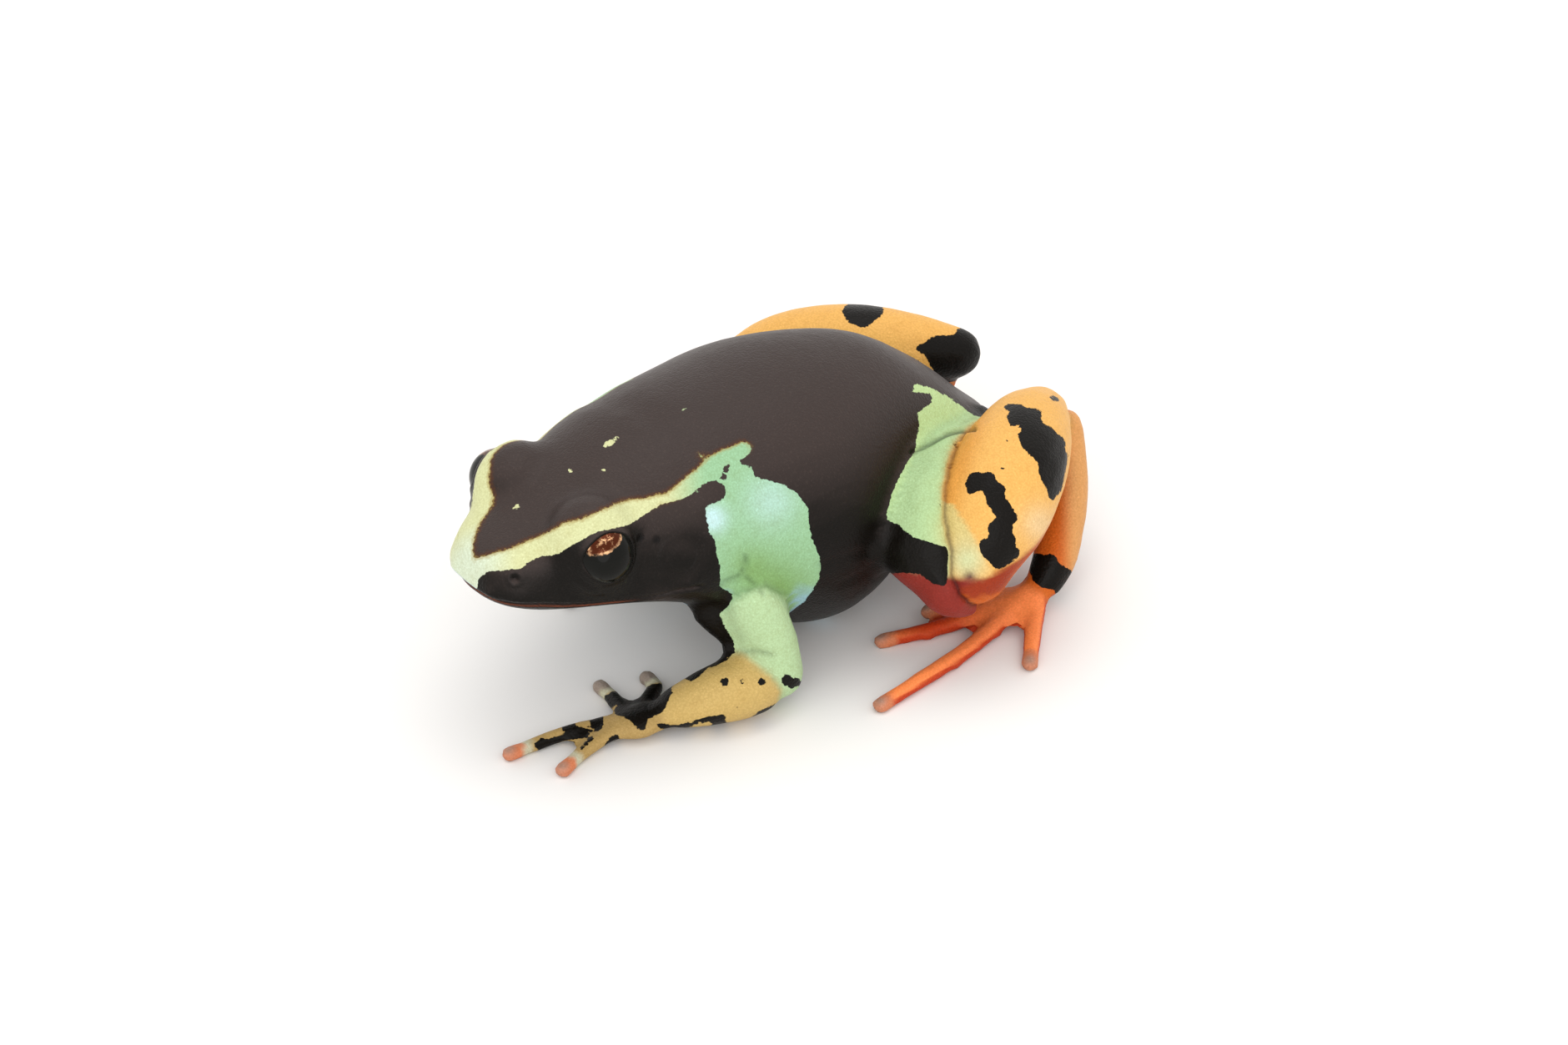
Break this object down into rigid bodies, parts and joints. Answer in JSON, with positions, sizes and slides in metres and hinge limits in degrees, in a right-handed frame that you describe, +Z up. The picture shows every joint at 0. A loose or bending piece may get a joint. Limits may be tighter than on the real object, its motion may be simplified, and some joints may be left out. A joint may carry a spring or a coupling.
{
  "type": "frog",
  "caption": "Life-size still model of a Madagascan mantella, a small black, green and orange frog, sitting with its head raised and its hind legs folded.",
  "frame": {"origin": "on the floor, under the middle of the box around the frog", "axes": "+Z up, -Y the way the frog faces, +X its left side"},
  "size_m": [0.0184, 0.0238, 0.0098],
  "materials": {
    "dark_skin": "fine-grained brown-black skin with a soft sheen",
    "eye": "wet, near-black, with a copper arc above the pupil",
    "green_skin": "fine-grained pale green skin",
    "gold_skin": "fine-grained golden skin with small dark spots",
    "hand_skin": "thin golden skin banded with black, pink at the tips",
    "orange_skin": "fine-grained orange skin with black blotches",
    "red_skin": "smooth orange-red skin"
  },
  "bodies": {
    "root": {"head": "dark_skin", "torso": "dark_skin", "eye_left": "eye", "eye_right": "eye", "upper_arm_left": "green_skin", "upper_arm_right": "green_skin", "forearm_left": "gold_skin", "forearm_right": "gold_skin", "hand_left": "hand_skin", "hand_right": "hand_skin", "thigh_left": "green_skin", "thigh_right": "green_skin", "shank_left": "orange_skin", "shank_right": "orange_skin", "tarsus_left": "orange_skin", "tarsus_right": "orange_skin", "foot_left": "red_skin", "foot_right": "red_skin"}
  },
  "joints": []
}
